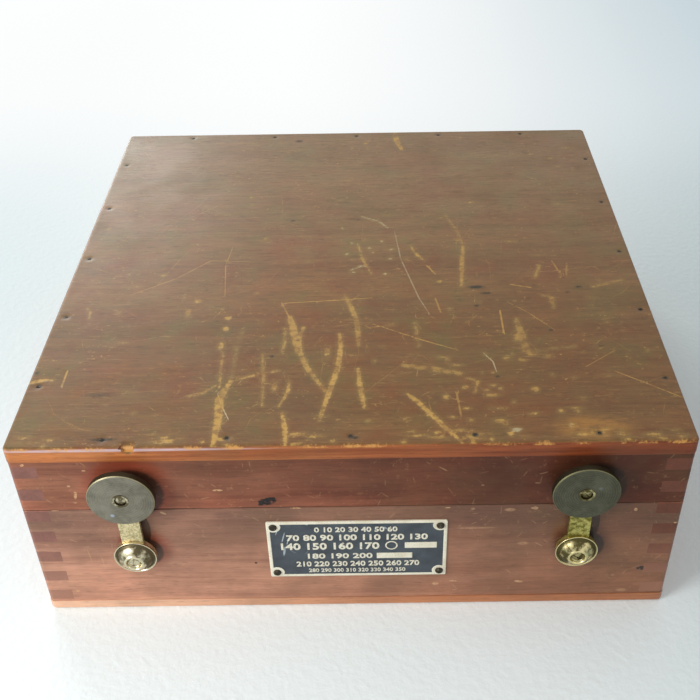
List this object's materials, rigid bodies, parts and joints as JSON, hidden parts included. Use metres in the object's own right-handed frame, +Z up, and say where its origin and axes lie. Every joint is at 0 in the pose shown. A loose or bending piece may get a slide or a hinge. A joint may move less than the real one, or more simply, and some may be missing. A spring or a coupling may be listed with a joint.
{
  "type": "bearing circle case",
  "caption": "Shallow wooden instrument case with box-jointed corners, a hinged lid, turning-disc brass latches on the front, a small data plate and corner blocks inside.",
  "frame": {"origin": "middle of the bottom panel's outer face, on the surface the case stands on", "axes": "+Z up, front with the latches and the data plate towards -Y, +X to the right seen from the front"},
  "size_m": [0.3206, 0.3393, 0.1145],
  "materials": {
    "mahogany_boards": "old varnish, semi-gloss",
    "mahogany_top": "worn varnish, scratched",
    "mahogany_bottom": "old varnish, semi-gloss",
    "block_wood": "bare, oiled",
    "felt": "felt",
    "hinge_brass": "aged",
    "latch_brass": "aged, worn bright on the high spots",
    "disc_patina": "dark brown patina",
    "dark_steel": "darkened",
    "plate_pins": "tarnished",
    "plate_enamel": "dull black ground, pale raised marks"
  },
  "bodies": {
    "base": {"base_back_board": "mahogany_boards", "base_front_board": "mahogany_boards", "base_left_board": "mahogany_boards", "base_right_board": "mahogany_boards", "bottom_panel": "mahogany_bottom", "bottom_panel_brads": "dark_steel", "corner_block_back_left": "block_wood", "corner_block_back_right": "block_wood", "corner_block_front_left": "block_wood", "corner_block_front_right": "block_wood", "felt_pad_back_left": "felt", "felt_pad_back_right": "felt", "felt_pad_front_left": "felt", "felt_pad_front_right": "felt", "hinge_base_screws": "hinge_brass", "hinge_left_base_leaf": "hinge_brass", "hinge_left_pin": "hinge_brass", "hinge_right_base_leaf": "hinge_brass", "hinge_right_pin": "hinge_brass", "latch_left_boss": "latch_brass", "latch_left_boss_screw": "latch_brass", "latch_left_catch_pin": "latch_brass", "latch_left_strap": "latch_brass", "latch_left_strap_spacer": "latch_brass", "latch_right_boss": "latch_brass", "latch_right_boss_screw": "latch_brass", "latch_right_catch_pin": "latch_brass", "latch_right_strap": "latch_brass", "latch_right_strap_spacer": "latch_brass", "nameplate": "plate_enamel", "nameplate_pins": "plate_pins"},
    "lid": {"hinge_left_lid_leaf": "hinge_brass", "hinge_lid_screws": "hinge_brass", "hinge_right_lid_leaf": "hinge_brass", "latch_left_hub_washer": "latch_brass", "latch_left_pivot_screw": "latch_brass", "latch_right_hub_washer": "latch_brass", "latch_right_pivot_screw": "latch_brass", "lid_back_board": "mahogany_boards", "lid_front_board": "mahogany_boards", "lid_left_board": "mahogany_boards", "lid_right_board": "mahogany_boards", "top_panel": "mahogany_top", "top_panel_brads": "dark_steel"},
    "latch_disc_left": {"latch_left_bush": "latch_brass", "latch_left_disc": "disc_patina"},
    "latch_disc_right": {"latch_right_bush": "latch_brass", "latch_right_disc": "disc_patina"}
  },
  "joints": [
    {"name": "lid_hinge", "type": "hinge", "parent": "base", "child": "lid", "pos_m": [0, 0.16455, 0.0735], "axis": [-1, 0, 0], "range_deg": [0, 185]},
    {"name": "latch_left_turn", "type": "hinge", "parent": "lid", "child": "latch_disc_left", "pos_m": [-0.1081, -0.1686, 0.0885], "axis": [0, 1, 0], "range_deg": [0, 100]},
    {"name": "latch_right_turn", "type": "hinge", "parent": "lid", "child": "latch_disc_right", "pos_m": [0.1097, -0.1686, 0.0885], "axis": [0, 1, 0], "range_deg": [0, 100]}
  ]
}
